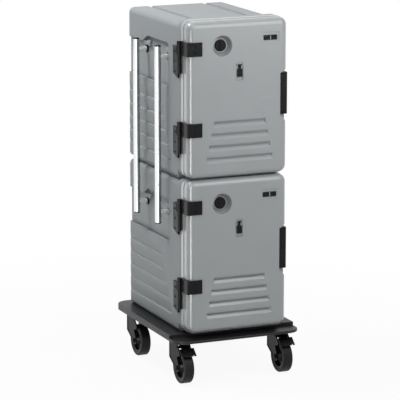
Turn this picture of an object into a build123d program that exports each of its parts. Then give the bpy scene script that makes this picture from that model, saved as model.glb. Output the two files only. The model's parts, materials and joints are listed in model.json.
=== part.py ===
from build123d import *
import os
from math import cos, radians, sin

# Insulated food transport cart: two front-loading insulated boxes for catering pans,
# stacked on a dolly with four swivel casters and tied together by push bars on both sides.
# Millimetres, +Z up, origin on the floor under the middle of the dolly.
# The doors face -Y and hang on the -X side. A box is drawn with its shell's underside at Z = 0.

# Dolly
dolly_side_margin = 56.0
dolly_end_margin = 21.0
plate_corner = 52.0
plate_thickness = 10.0
plate_edge_round = 2.5
deck_setback = 78.0
deck_edge_round = 2.5
caster_height = 168.0

# Box shell
side_wall = 40.5
back_wall = 34.0
cavity_roof = 50.5
skid_height = 14.0
deck_gap = 0.5
side_skid_inset = 20.0
front_skid_inset = 34.0
back_skid_inset = 24.0
collar_depth = 28.0
collar_corner = 32.0
collar_lift = 3.0
crown_drop = 14.0
shell_top_round = 22.0
shell_bottom_round = 14.0
shell_back_round = 24.0
top_groove_offset = 116.0
top_groove_width = 26.0
top_groove_slope = 4.0
top_groove_depth = 9.0
top_groove_start = 6.0
skid_clearance = 1.0

# Cavity for pans that are 530 long and 325 wide
pan_length = 530.0
pan_width = 325.0
pan_side_play = 4.0
pan_end_play = 4.0
cavity_floor = 42.0
cavity_height = 513.0
cavity_corner = 18.0
rail_count = 11
rail_first = 28.0
rail_pitch = 40.0
rail_depth = 12.0
rail_thickness = 10.0
rail_end_setback = 12.0

# Hand-grip recess and ribs on the sides of a box
grip_depth = 14.0
grip_low = 335.0
grip_below_top = 88.5
grip_back_below_top = 113.5
grip_length = 421.0
grip_slope_start = 206.0
grip_slope_end = 156.0
grip_corner = 8.0
ledge_groove_width = 5.0
ledge_groove_depth = 5.0
rib_count = 5
rib_lowest = 51.0
rib_pitch = 52.7
rib_groove_depth = 6.0
rib_groove_height = 42.0
rib_lip = 3.5
rib_length = 444.0
rib_length_step = 25.0

# Door
door_thickness = 70.0
door_front_wall = 44.0
seam_gap = 2.0
door_rim_depth = 22.0
door_rim_step = 2.0
door_edge_round = 24.0
plug_depth = 10.0
plug_play = 3.0
plug_corner = 15.0
plug_wall = 20.0
gasket_width = 10.0
gasket_margin = 5.0
gasket_groove = 4.0
gasket_gap = 0.3
gasket_corner = 20.0

# Louvre grooves pressed into the door
louvre_count = 4
louvre_centre = 7.0
louvre_lowest_top = 86.0
louvre_pitch = 45.5
louvre_height = 23.0
louvre_depth = 12.0
louvre_shade = 8.0
louvre_end_slope = 7.0
louvre_long_half = 137.0
louvre_half_step = 9.8

# Vent in the door
vent_x = -66.0
vent_below_top = 97.5
vent_mouth_radius = 40.0
vent_floor_radius = 30.0
vent_recess_depth = 27.0
vent_ring_radius = 29.5
vent_ring_height = 4.0
vent_knob_radius = 22.5
vent_knob_height = 11.0
vent_knob_gap = 0.5
vent_knob_lift = 0.3
vent_ring_round = 1.5
vent_knob_round = 2.0
vent_grip_width = 8.0
vent_grip_height = 4.0
vent_stem_radius = 6.0
vent_stem_length = 12.0
vent_bore_radius = 6.4
vent_grip_reach = 19.0

# Card clip on the door
clip_x = 5.0
clip_below_top = 197.5
clip_width = 29.0
clip_height = 69.0
clip_recess_depth = 5.0
clip_base_thickness = 2.0
clip_play = 0.5
clip_pivot_drop = 10.0
clip_pivot_radius = 2.5
clip_ear_width = 3.0
clip_tongue_width = 18.0
clip_tongue_thickness = 2.5
clip_tongue_length = 44.0
clip_pad_height = 30.0
clip_pad_thickness = 2.0
clip_corner = 3.0

# Blank plate on the door
tag_inset = 75.0
tag_below_top = 75.5
tag_width = 56.0
tag_height = 19.0
tag_thickness = 2.0
tag_frame_width = 71.0
tag_frame_height = 42.0
tag_frame_depth = 2.0
tag_corner = 2.0

# Hinges, two to a box, each a body leaf below and a door leaf above
lower_hinge_height = 192.5
upper_hinge_below_top = 105.0
hinge_axis_out = 9.0
hinge_axis_forward = 4.0
door_leaf_height = 53.0
door_leaf_thickness = 5.0
door_leaf_reach = 57.0
door_leaf_slot_width = 9.0
door_leaf_slot_height = 18.0
door_leaf_slot_pitch = 14.0
door_leaf_slot_rise = 24.0
door_leaf_slot_depth = 2.5
door_leaf_slot_back = 14.0
door_barrel_radius = 9.0
barrel_gap = 1.0
body_leaf_thickness = 8.0
body_leaf_web = 4.5
body_leaf_height = 118.0
body_leaf_top = 3.0
body_leaf_back = 58.0
body_leaf_front = 12.0
body_leaf_cut = 26.0
body_leaf_slope = 14.0
body_barrel_radius = 7.5
body_barrel_height = 70.0
hinge_pin_radius = 3.5
hinge_pin_play = 0.2
leaf_clearance = 1.0

# Latch on the other edge of the door
latch_low = 229.0
latch_height = 161.0
latch_notch_inner = 174.5
latch_notch_slope_below = 0.9
latch_notch_slope_above = 0.55
latch_ledge = 30.0
latch_lip_thickness = 8.0
latch_arm_thickness = 6.0
latch_lip_setback = 20.0
latch_axis_out = 7.5
latch_axis_back = 14.0
latch_barrel_radius = 6.0
latch_edge_round = 5.0
latch_knuckle_height = 20.0
latch_pin_radius = 3.0
latch_pin_play = 0.2
latch_base_thickness = 4.0
latch_base_length = 46.0
latch_clearance = 1.2
keeper_thickness = 1.2
keeper_margin = 4.0

# Push bars
bar_radius = 12.5
bar_wall = 1.5
bar_standoff = 33.0
bar_from_back = 284.0
bar_spacing = 220.0
bar_fix_below_top = 157.5
bar_overrun = 40.0
cap_length = 12.0
cap_dome = 4.0
standoff_radius = 9.0
bush_radius = 15.0
bush_flange = 6.0
bush_round = 1.5
bush_sleeve_radius = 12.0
bush_sleeve_length = 12.0
pad_width = 58.0
pad_height = 24.0
pad_depth = 10.0
pad_gap = 2.0
pad_forward = 20.0
pad_slope = 12.0

# Casters
caster_side_inset = 55.0
caster_end_inset = 105.0
caster_trail = 41.0
back_right_turn = 180.0
wheel_radius = 62.5
tyre_inner_radius = 46.0
tyre_width = 40.0
tyre_round = 5.0
tyre_shoulder = 3.0
core_rim_width = 34.0
core_rim_thickness = 5.0
core_web = 9.0
core_web_edge = 2.0
hub_radius = 15.0
hub_width = 43.0
hub_taper = 2.0
hub_flare = 6.0
axle_radius = 6.0
axle_play = 0.2
axle_head_radius = 9.0
axle_head_height = 4.0
web_hole_count = 6
web_hole_radius = 7.0
web_hole_circle = 28.5
fork_inside = 45.0
fork_plate = 5.0
fork_crown_thickness = 8.0
fork_crown_corner = 6.0
fork_front = 31.0
fork_back = 38.0
fork_back_height = 80.0
fork_hood_reach = 64.0
fork_hood_drop = 44.0
fork_hood_thickness = 10.0
fork_leg_front = 36.0
fork_boss_radius = 17.0
fork_border = 3.0
fork_panel_depth = 1.5
top_plate_length = 100.0
top_plate_width = 86.0
top_plate_thickness = 4.0
top_plate_corner = 8.0
race_radius = 25.0
race_height = 6.0
race_gap = 0.4
kingpin_radius = 7.0
kingpin_play = 0.3
kingpin_nut_radius = 11.0
kingpin_nut_height = 7.0

# Brake pedals on the front casters
pedal_width = 60.0
pedal_neck_width = 30.0
pedal_pivot_y = -30.0
pedal_pivot_drop = 27.0
pedal_pin_radius = 3.5
pedal_pin_play = 0.2
pedal_boss_radius = 6.5
pedal_reach = 68.0
pedal_neck_drop = 5.0
pedal_slope_drop = 22.0
pedal_thickness = 5.0
pedal_blade = 28.0
pedal_teeth = 6
pedal_tooth_depth = 5.0

# Places worked out from the sizes above
cavity_width = pan_width + 2 * pan_side_play
cavity_top = cavity_floor + cavity_height
box_width = cavity_width + 2 * side_wall
box_depth = back_wall + pan_end_play + pan_length + door_front_wall
box_height = cavity_top + cavity_roof
plate_width = box_width + 2 * dolly_side_margin
plate_depth = box_depth + 2 * dolly_end_margin
box_front = -box_depth / 2
box_back = box_depth / 2
half_box = box_width / 2
seam = box_front + door_thickness
door_back = seam - seam_gap
collar_back = seam + collar_depth
deck_thickness = skid_height - deck_gap
plate_top = caster_height + plate_thickness
first_box = plate_top + skid_height
box_bases = {"lower": first_box, "upper": first_box + box_height}
shell_top = box_height - crown_drop
cavity_back = box_back - back_wall
cavity_middle = (cavity_floor + cavity_top) / 2
door_low = collar_lift
door_high = box_height
door_middle = (door_low + door_high) / 2
pan_face = cavity_back - pan_length - pan_end_play
vent_z = box_height - vent_below_top
clip_z = box_height - clip_below_top
tag_x = half_box - tag_inset
tag_z = box_height - tag_below_top
hinge_heights = (lower_hinge_height, box_height - upper_hinge_below_top)
hinge_x = -half_box - hinge_axis_out
hinge_y = door_back - hinge_axis_forward
latch_x = half_box + latch_axis_out
latch_y = seam + latch_axis_back
grip_floor = half_box - grip_depth
grip_front = box_back - grip_length
grip_high = shell_top - grip_below_top
grip_back_high = shell_top - grip_back_below_top
bar_out = half_box + bar_standoff
bar_fix_height = box_height - bar_fix_below_top
bar_middle = box_back - bar_from_back
bar_places = (bar_middle - bar_spacing / 2, bar_middle + bar_spacing / 2)
caster_x = plate_width / 2 - caster_side_inset
caster_y = plate_depth / 2 - caster_end_inset
fork_outside = fork_inside / 2 + fork_plate
crown_top = caster_height - top_plate_thickness - race_height - race_gap
crown_low = crown_top - fork_crown_thickness
fork_hood_height = caster_height - fork_hood_drop
fork_back_low = caster_height - fork_back_height
pedal_pivot_z = caster_height - pedal_pivot_drop


def along_y(sketch, front, back):
    """A sketch in X and Z, made solid from front to back."""
    plane = Plane(origin=(0, back, 0), x_dir=(1, 0, 0), z_dir=(0, -1, 0))
    return extrude(plane * sketch, back - front, dir=(0, -1, 0))


def along_x(sketch, left, right):
    """A sketch in Y and Z, made solid from left to right."""
    plane = Plane(origin=(left, 0, 0), x_dir=(0, 1, 0), z_dir=(1, 0, 0))
    return extrude(plane * sketch, right - left, dir=(1, 0, 0))


def along_z(sketch, low, high):
    """A sketch in X and Y, made solid from low to high."""
    return extrude(Plane.XY.offset(low) * sketch, high - low, dir=(0, 0, 1))


def block(x_low, x_high, y_low, y_high, z_low, z_high):
    middle = Pos((x_low + x_high) / 2, (y_low + y_high) / 2, (z_low + z_high) / 2)
    return middle * Box(x_high - x_low, y_high - y_low, z_high - z_low)


def panel(middle_a, middle_b, width, height, corner):
    return Pos(middle_a, middle_b) * RectangleRounded(width, height, corner)


def rod_z(x, y, radius, low, high):
    return Pos(x, y, (low + high) / 2) * Cylinder(radius, high - low)


def rod_x(y, z, radius, left, right):
    return Pos((left + right) / 2, y, z) * Rot(0, 90, 0) * Cylinder(radius, right - left)


def rod_y(x, z, radius, front, back):
    return Pos(x, (front + back) / 2, z) * Rot(90, 0, 0) * Cylinder(radius, back - front)


def both_sides(shape):
    return [shape, mirror(shape, Plane.YZ)]


def base_plate():
    plate = along_z(RectangleRounded(plate_width, plate_depth, plate_corner), caster_height, plate_top)
    return fillet(plate.faces().sort_by(Axis.Z)[-1].edges(), plate_edge_round)


def deck():
    """A raised frame, flush with the plate's sides, that holds the lower box by its skid."""
    top = plate_top + deck_thickness
    outline = RectangleRounded(plate_width, plate_depth, plate_corner)
    outline -= Pos(0, -plate_depth / 2) * Rectangle(plate_width, 2 * deck_setback)
    frame = along_z(outline, plate_top, top)
    frame = fillet(frame.faces().sort_by(Axis.Z)[-1].edges(), deck_edge_round)
    x = half_box - side_skid_inset + skid_clearance
    y_low = collar_back + front_skid_inset - skid_clearance
    y_high = box_back - back_skid_inset + skid_clearance
    return frame - block(-x, x, y_low, y_high, plate_top - 1, top + 1)


def shell_outline():
    """The body behind the collar, with its rounded top, bottom and back edges."""
    body = block(-half_box, half_box, collar_back - 1, box_back, 0, shell_top)
    upright = body.edges().filter_by(Axis.Z).group_by(Axis.Y)[-1]
    body = fillet(upright, shell_back_round)
    top = body.faces().sort_by(Axis.Z)[-1].edges()
    body = fillet(top - top.sort_by(Axis.Y)[:1], shell_top_round)
    low = body.faces().sort_by(Axis.Z)[0].edges()
    return fillet(low - low.sort_by(Axis.Y)[:1], shell_bottom_round)


def skid():
    """The foot under a box, which stands in the dolly's frame or on the box below."""
    x = half_box - side_skid_inset
    y_low = collar_back + front_skid_inset
    y_high = box_back - back_skid_inset
    return block(-x, x, y_low, y_high, -skid_height, 1)


def top_grooves():
    """Two grooves with sloping walls along the top, open at the back."""
    half = top_groove_width / 2
    low = shell_top - top_groove_depth
    profile = Polygon(
        (-half + top_groove_slope, low), (half - top_groove_slope, low), (half, shell_top),
        (half, shell_top + 1), (-half, shell_top + 1), (-half, shell_top), align=None,
    )
    groove = along_y(Pos(top_groove_offset, 0) * profile, collar_back + top_groove_start, box_back + 1)
    return both_sides(groove)


def grip_recess():
    """The recess on a side of the box, open towards the back."""
    outside = box_back + 1
    outline = Polygon(
        (grip_front, grip_low), (outside, grip_low), (outside, grip_back_high),
        (box_back - grip_slope_end, grip_back_high), (box_back - grip_slope_start, grip_high),
        (grip_front, grip_high), align=None,
    )
    outline = fillet(outline.vertices().group_by(Axis.X)[0], grip_corner)
    cut = along_x(outline, grip_floor, half_box + 1)
    ledge = block(grip_floor, grip_floor + ledge_groove_width, grip_front + grip_corner, outside,
                  grip_low - ledge_groove_depth, grip_low + 1)
    return both_sides(cut) + both_sides(ledge)


def grip_pad(y):
    """A moulded pad with a sloping top, just over a standoff, on the floor of the recess."""
    low = bar_fix_height + bush_radius + pad_gap
    high = low + pad_height
    middle = y - pad_forward
    profile = Polygon(
        (grip_floor - 1, low), (grip_floor + pad_depth, low), (grip_floor + pad_depth, high - pad_slope),
        (grip_floor - 1, high), align=None,
    )
    return along_y(profile, middle - pad_width / 2, middle + pad_width / 2)


def rib_groove(index):
    """One of the grooves between the ribs: a lip that faces up, under a long gentle slope."""
    low = rib_lowest + index * rib_pitch
    profile = Polygon(
        (half_box + 1, low), (half_box, low), (half_box - rib_groove_depth, low + rib_lip),
        (half_box, low + rib_groove_height), (half_box + 1, low + rib_groove_height), align=None,
    )
    front = box_back - rib_length + index * rib_length_step
    return along_y(profile, front, box_back + 1)


def pan_rail(index):
    wall = cavity_width / 2
    low = cavity_floor + rail_first + index * rail_pitch
    profile = Polygon(
        (wall + 1, low), (wall, low), (wall - rail_depth, low + rail_depth / 2),
        (wall - rail_depth, low + rail_thickness), (wall + 1, low + rail_thickness), align=None,
    )
    return along_y(profile, seam + rail_end_setback, cavity_back + 1)


def bush_bore(y):
    return rod_x(y, bar_fix_height, bush_sleeve_radius, grip_floor - bush_sleeve_length, grip_floor + 1)


def box_body():
    body = shell_outline() + skid()
    collar = panel(0, door_middle, box_width, door_high - door_low, collar_corner)
    body += along_y(collar, seam, collar_back)
    body -= top_grooves()
    body -= grip_recess()
    for y in bar_places:
        body += both_sides(grip_pad(y))
        body -= both_sides(bush_bore(y))
    for index in range(rib_count):
        body -= both_sides(rib_groove(index))
    cavity = panel(0, cavity_middle, cavity_width, cavity_height, cavity_corner)
    body -= along_y(cavity, seam - 1, cavity_back)
    rails = []
    for index in range(rail_count):
        rails += both_sides(pan_rail(index))
    return body + rails


def louvre(index):
    """A groove with a shaded back under its top edge, and a floor that slopes out to the door's face."""
    top = louvre_lowest_top + index * louvre_pitch
    low = top - louvre_height
    half = louvre_long_half - index * louvre_half_step
    back = box_front + louvre_depth
    profile = Polygon(
        (box_front - 1, top), (back, top), (back, top - louvre_shade), (box_front, low), (box_front - 1, low),
        align=None,
    )
    groove = along_x(profile, louvre_centre - half, louvre_centre + half)
    plan = Polygon(
        (-half, box_front - 1), (half, box_front - 1), (half, box_front), (half - louvre_end_slope, back),
        (-half + louvre_end_slope, back), (-half, box_front), align=None,
    )
    return groove & along_z(Pos(louvre_centre, 0) * plan, low - 1, top + 1)


def vent_recess():
    dish = Cone(vent_floor_radius, vent_mouth_radius, vent_recess_depth)
    y = box_front + vent_recess_depth / 2
    bore = rod_y(vent_x, vent_z, vent_bore_radius, box_front, door_back + plug_depth + 1)
    return [Pos(vent_x, y, vent_z) * Rot(90, 0, 0) * dish, bore]


def latch_notch():
    """The notch in the door's edge, flared at both ends, down to the ledge that the lip holds."""
    low = latch_low - latch_clearance
    high = latch_low + latch_height + latch_clearance
    outer = half_box + 1
    run = outer - latch_notch_inner
    outline = Polygon(
        (latch_notch_inner, low), (outer, low - latch_notch_slope_below * run),
        (outer, high + latch_notch_slope_above * run), (latch_notch_inner, high), align=None,
    )
    return along_y(outline, box_front - 1, box_front + latch_ledge)


def door_body():
    height = door_high - door_low
    outline = panel(0, door_middle, box_width, height, collar_corner)
    rim = along_y(outline, door_back - door_rim_depth, door_back)
    step = 2 * door_rim_step
    face = panel(0, door_middle, box_width - step, height - step, collar_corner - door_rim_step)
    main = along_y(face, box_front, door_back - door_rim_depth)
    main = fillet(main.faces().sort_by(Axis.Y)[0].edges(), door_edge_round)
    body = main + rim
    plug_width = cavity_width - 2 * plug_play
    plug_height = cavity_height - 2 * plug_play
    plug = panel(0, cavity_middle, plug_width, plug_height, plug_corner)
    body += along_y(plug, door_back, door_back + plug_depth)
    dish = panel(0, cavity_middle, plug_width - 2 * plug_wall, plug_height - 2 * plug_wall, plug_corner)
    body -= along_y(dish, pan_face, door_back + plug_depth)
    body -= along_y(gasket_ring(), door_back - gasket_groove, door_back)
    for index in range(louvre_count):
        body -= louvre(index)
    body -= vent_recess()
    body -= latch_notch()
    clip = panel(clip_x, clip_z, clip_width, clip_height, clip_corner)
    body -= along_y(clip, box_front - 1, box_front + clip_recess_depth)
    frame = panel(tag_x, tag_z, tag_frame_width, tag_frame_height, tag_corner)
    return body - along_y(frame, box_front - 1, box_front + tag_frame_depth)


def gasket_ring():
    inner_width = cavity_width + 2 * gasket_margin
    inner_height = cavity_height + 2 * gasket_margin
    outer = panel(0, cavity_middle, inner_width + 2 * gasket_width, inner_height + 2 * gasket_width,
                  gasket_corner + gasket_width)
    return outer - panel(0, cavity_middle, inner_width, inner_height, gasket_corner)


def gasket():
    return along_y(gasket_ring(), door_back - gasket_groove, seam - gasket_gap)


def hinge_door_leaf(z):
    """The leaf that wraps the door's corner, with the upper barrel and its blind bore."""
    low = z - door_leaf_height / 2
    high = z + door_leaf_height / 2
    side = -half_box + door_rim_step
    outer_x = -half_box - door_leaf_thickness
    outer_y = box_front - door_leaf_thickness
    inner_x = outer_x + door_leaf_reach + door_leaf_thickness
    front_plate = block(outer_x, inner_x, outer_y, box_front, low, high)
    side_plate = block(outer_x, -half_box, outer_y, hinge_y, low, high)
    corner = door_edge_round
    filler = block(-half_box, side + corner, box_front, box_front + corner, low, high)
    rounding = rod_z(side + corner, box_front + corner, corner, low - 1, high + 1)
    leaf = front_plate + side_plate + (filler - rounding)
    leaf -= block(side, side + 2 * corner, box_front + corner, hinge_y + 1, low - 1, high + 1)
    leaf = fillet(leaf.edges().filter_by(Axis.Z).group_by(Axis.Y)[0].sort_by(Axis.X)[:1], door_leaf_thickness)
    for column in (0, 1):
        for row in (-1, 1):
            leaf -= door_leaf_slot(z, column, row)
    leaf += rod_z(hinge_x, hinge_y, door_barrel_radius, low, high)
    leaf -= block(-half_box, half_box, door_back - door_rim_depth, 0, low - 1, high + 1)
    bore = hinge_pin_radius + hinge_pin_play
    return leaf - rod_z(hinge_x, hinge_y, bore, low - 1, high - door_leaf_thickness)


def door_leaf_slot(z, column, row):
    """One of the four upright slots moulded into the side of a door leaf."""
    outside = -half_box - door_leaf_thickness
    y = hinge_y - door_leaf_slot_back - column * door_leaf_slot_pitch
    middle = z + row * door_leaf_slot_rise / 2
    half_width = door_leaf_slot_width / 2
    half_height = door_leaf_slot_height / 2
    return block(outside - 1, outside + door_leaf_slot_depth, y - half_width, y + half_width,
                 middle - half_height, middle + half_height)


def hinge_body_leaf(z):
    """The leaf on the body's side: a thick plate, and a thin web to the barrel that carries the pin."""
    top = z + body_leaf_top
    barrel_top = z - door_leaf_height / 2 - barrel_gap
    low = top - body_leaf_height
    back = seam + body_leaf_back
    neck = seam + body_leaf_cut
    step = seam + body_leaf_front
    front = door_back + leaf_clearance
    plate = Polygon(
        (step, low), (back, low + body_leaf_slope), (back, top), (neck, top), (neck, barrel_top),
        (step, barrel_top), align=None,
    )
    leaf = along_x(plate, -half_box - body_leaf_thickness, -half_box)
    barrel_low = barrel_top - body_barrel_height
    leaf += block(-half_box - body_leaf_web, -half_box, front, step, barrel_low, barrel_top)
    barrel = rod_z(hinge_x, hinge_y, body_barrel_radius, barrel_low, barrel_top)
    leaf += barrel - block(-half_box, 0, -box_depth, 0, 0, box_height)
    return leaf - rod_z(hinge_x, hinge_y, hinge_pin_radius, low, barrel_top)


def hinge_pin(z):
    top = z + door_leaf_height / 2 - door_leaf_thickness - barrel_gap
    low = z - door_leaf_height / 2 - barrel_gap - body_barrel_height
    return rod_z(hinge_x, hinge_y, hinge_pin_radius, low, top)


def latch_base():
    """A plate on the body's side with a knuckle at each end of the pin."""
    low = latch_low
    high = latch_low + latch_height
    back = latch_y + latch_base_length
    plate = block(half_box, half_box + latch_base_thickness, latch_y, back, low, high)
    plate += rod_z(latch_x, latch_y, latch_barrel_radius, low, low + latch_knuckle_height)
    plate += rod_z(latch_x, latch_y, latch_barrel_radius, high - latch_knuckle_height, high)
    room = block(half_box, latch_x + 20, latch_y - 20, latch_y + latch_barrel_radius + latch_clearance,
                 low + latch_knuckle_height, high - latch_knuckle_height)
    plate -= room
    return plate - rod_z(latch_x, latch_y, latch_pin_radius, low - 1, high + 1)


def latch_lever():
    """The lever: its barrel, its arm along the door's side and the lip in front of the ledge."""
    low = latch_low
    high = latch_low + latch_height
    arm_in = half_box + latch_clearance
    arm_out = arm_in + latch_arm_thickness
    lip_front = box_front + latch_lip_setback
    inner = latch_notch_inner + latch_clearance
    knuckle_low = low + latch_knuckle_height + latch_clearance
    knuckle_high = high - latch_knuckle_height - latch_clearance
    arm = block(arm_in, arm_out, lip_front, latch_y - latch_barrel_radius - latch_clearance, low, high)
    arm += block(arm_in, arm_out, lip_front, latch_y, knuckle_low, knuckle_high)
    lip = block(inner, arm_out, lip_front, lip_front + latch_lip_thickness, low, high)
    lever = arm + lip
    front_edge = lever.edges().filter_by(Axis.Z).group_by(Axis.Y)[0]
    lever = fillet(front_edge.sort_by(Axis.X)[-1:], latch_edge_round)
    lever += rod_z(latch_x, latch_y, latch_barrel_radius, knuckle_low, knuckle_high)
    return lever - rod_z(latch_x, latch_y, latch_pin_radius + latch_pin_play, low, high)


def latch_pin():
    return rod_z(latch_x, latch_y, latch_pin_radius, latch_low, latch_low + latch_height)


def latch_keeper():
    """The wear plate on the ledge of the notch, behind the lip."""
    back = box_front + latch_ledge
    left = latch_notch_inner + keeper_margin
    right = half_box - keeper_margin - door_rim_step
    low = latch_low + keeper_margin
    high = latch_low + latch_height - keeper_margin
    return block(left, right, back - keeper_thickness, back, low, high)


def vent_ring():
    floor = box_front + vent_recess_depth
    ring = rod_y(vent_x, vent_z, vent_ring_radius, floor - vent_ring_height, floor)
    inner = vent_knob_radius + vent_knob_gap
    ring -= rod_y(vent_x, vent_z, inner, floor - vent_ring_height - 1, floor + 1)
    return fillet(ring.faces().sort_by(Axis.Y)[0].edges().sort_by(SortBy.RADIUS)[-1:], vent_ring_round)


def vent_knob():
    """The round cap, with a grip bar across it and a stem in the door's bore."""
    floor = box_front + vent_recess_depth - vent_knob_lift
    knob = rod_y(vent_x, vent_z, vent_knob_radius, floor - vent_knob_height, floor)
    knob = fillet(knob.faces().sort_by(Axis.Y)[0].edges(), vent_knob_round)
    front = floor - vent_knob_height - vent_grip_height
    bar = panel(vent_x, vent_z, vent_grip_width, 2 * vent_grip_reach, vent_grip_width / 2 - 0.5)
    knob += along_y(bar, front, floor - 1)
    return knob + rod_y(vent_x, vent_z, vent_stem_radius, floor - 1, floor + vent_stem_length)


def clip_pivot():
    y = box_front + clip_recess_depth - clip_base_thickness - clip_pivot_radius - 0.5
    z = clip_z + clip_height / 2 - clip_pivot_drop
    return y, z


def clip_base():
    """A plate in the recess, with two ears and the pin between them."""
    back = box_front + clip_recess_depth
    width = clip_width - 2 * clip_play
    plate = along_y(panel(clip_x, clip_z, width, clip_height - 2 * clip_play, clip_corner),
                    back - clip_base_thickness, back)
    y, z = clip_pivot()
    inner = clip_tongue_width / 2 + clip_play
    for side in (-1, 1):
        middle = clip_x + side * (inner + clip_ear_width / 2)
        plate += block(middle - clip_ear_width / 2, middle + clip_ear_width / 2,
                       y - clip_pivot_radius, back, z - clip_pivot_radius - 1, z + clip_pivot_radius + 1)
    return plate + rod_x(y, z, clip_pivot_radius / 2, clip_x - inner - 1, clip_x + inner + 1)


def clip_tongue():
    """The sprung tongue, with a barrel at its top and a finger pad on its lower half."""
    y, z = clip_pivot()
    half = clip_tongue_width / 2
    barrel = rod_x(y, z, clip_pivot_radius, clip_x - half, clip_x + half)
    front = y - clip_pivot_radius
    blade = block(clip_x - half / 2, clip_x + half / 2, front, front + clip_tongue_thickness,
                  z - clip_tongue_length, z)
    pad_low = z - clip_tongue_length - 1
    pad = block(clip_x - half - 1, clip_x + half + 1, front - clip_pad_thickness / 2,
                front + clip_tongue_thickness, pad_low, pad_low + clip_pad_height)
    tongue = barrel + blade + pad
    return tongue - rod_x(y, z, clip_pivot_radius / 2 + 0.15, clip_x - half - 1, clip_x + half + 1)


def blank_tag():
    back = box_front + tag_frame_depth
    return along_y(panel(tag_x, tag_z, tag_width, tag_height, tag_corner), back - tag_thickness, back)


def bar_ends():
    low = box_bases["lower"] + bar_fix_height - bar_overrun
    return low, box_bases["upper"] + bar_fix_height + bar_overrun


def push_bar(y):
    low, high = bar_ends()
    tube = rod_z(bar_out, y, bar_radius, low, high)
    return tube - rod_z(bar_out, y, bar_radius - bar_wall, low - 1, high + 1)


def bar_caps(y):
    low, high = bar_ends()
    plug = bar_radius - bar_wall
    upper = rod_z(bar_out, y, plug, high - cap_length, high)
    upper += rod_z(bar_out, y, bar_radius, high, high + cap_dome)
    upper = fillet(upper.faces().sort_by(Axis.Z)[-1].edges(), cap_dome - 1)
    lower = rod_z(bar_out, y, plug, low, low + cap_length)
    lower += rod_z(bar_out, y, bar_radius, low - cap_dome, low)
    lower = fillet(lower.faces().sort_by(Axis.Z)[0].edges(), cap_dome - 1)
    return [upper, lower]


def standoff(y, z):
    """The short rod from the bar to its seat in the box, saddled on the bar."""
    rod = rod_x(y, z, standoff_radius, grip_floor - bush_sleeve_length, bar_out)
    return rod - rod_z(bar_out, y, bar_radius, z - 2 * bar_radius, z + 2 * bar_radius)


def bush(y, z):
    flange = rod_x(y, z, bush_radius, grip_floor, grip_floor + bush_flange)
    flange = fillet(flange.faces().sort_by(Axis.X)[-1].edges(), bush_round)
    flange += rod_x(y, z, bush_sleeve_radius, grip_floor - bush_sleeve_length, grip_floor)
    left = grip_floor - bush_sleeve_length - 1
    return flange - rod_x(y, z, standoff_radius, left, grip_floor + bush_flange + 1)


def top_plate():
    """The caster's fixing plate with its ball race and kingpin, at the swivel axis."""
    low = caster_height - top_plate_thickness
    plate = along_z(RectangleRounded(top_plate_width, top_plate_length, top_plate_corner), low, caster_height)
    plate += rod_z(0, 0, race_radius, low - race_height, low)
    nut_top = crown_low - race_gap
    plate += rod_z(0, 0, kingpin_radius, nut_top, low)
    return plate + rod_z(0, 0, kingpin_nut_radius, nut_top - kingpin_nut_height, nut_top)


def cheek_outline(inset):
    """A cheek seen from the side: a shield behind, a hood over the tyre and a leg to the axle."""
    axle_y = -caster_trail
    boss = fork_boss_radius - inset
    back = fork_back - inset
    hood_front = inset - fork_hood_reach
    hood_low = fork_hood_height - fork_hood_thickness + inset
    outline = Polygon(
        (inset - fork_front, crown_top - inset), (back, crown_top - inset), (back, fork_back_low + inset),
        (axle_y, wheel_radius - boss), (axle_y - boss, wheel_radius),
        (inset - fork_leg_front, hood_low - fork_hood_thickness), (hood_front, hood_low),
        (hood_front, fork_hood_height - inset), align=None,
    )
    return outline + Pos(axle_y, wheel_radius) * Circle(boss)


def fork():
    """The fork: a crown on the race and two bordered cheeks that trail to the axle."""
    crown = block(-fork_outside, fork_outside, -fork_front, fork_back, crown_low, crown_top)
    crown = fillet(crown.edges().filter_by(Axis.Z), fork_crown_corner)
    crown -= rod_z(0, 0, kingpin_radius + kingpin_play, crown_low - 1, crown_top + 1)
    axle_y = -caster_trail
    cheek = along_x(cheek_outline(0), fork_inside / 2, fork_outside)
    cheek -= along_x(cheek_outline(fork_border), fork_outside - fork_panel_depth, fork_outside + 1)
    cheek -= rod_x(axle_y, wheel_radius, axle_radius, 0, fork_outside + 1)
    cheek -= rod_x(pedal_pivot_y, pedal_pivot_z, pedal_pin_radius + pedal_pin_play, 0, fork_outside + 1)
    return crown + both_sides(cheek)


def tyre():
    """A flat tread with rounded shoulders, and sidewalls that slope in to the rim."""
    half = tyre_width / 2
    profile = Polygon(
        (0, tyre_inner_radius), (half - tyre_shoulder, tyre_inner_radius),
        (half, wheel_radius - 2 * tyre_round), (half, wheel_radius), (0, wheel_radius), align=None,
    )
    profile = fillet(profile.vertices().group_by(Axis.X)[-1].sort_by(Axis.Y)[-1:], tyre_round)
    ring = revolve(Plane.XY * profile, Axis.X)
    ring += mirror(ring, Plane.YZ)
    return Pos(0, -caster_trail, wheel_radius) * ring


def wheel_core():
    """The wheel's centre: rim, dished web with round holes, and hub."""
    half = core_rim_width / 2
    rim = tyre_inner_radius - core_rim_thickness
    profile = Polygon(
        (0, axle_radius + axle_play), (hub_width / 2, axle_radius + axle_play),
        (hub_width / 2, hub_radius - hub_taper), (half, hub_radius), (core_web / 2, hub_radius + hub_flare),
        (core_web / 2, rim - core_web_edge), (half, rim), (half, tyre_inner_radius), (0, tyre_inner_radius),
        align=None,
    )
    core = revolve(Plane.XY * profile, Axis.X)
    core += mirror(core, Plane.YZ)
    for index in range(web_hole_count):
        angle = radians(index * 360 / web_hole_count)
        y = web_hole_circle * cos(angle)
        z = web_hole_circle * sin(angle)
        core -= rod_x(y, z, web_hole_radius, -half, half)
    return Pos(0, -caster_trail, wheel_radius) * core


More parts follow.
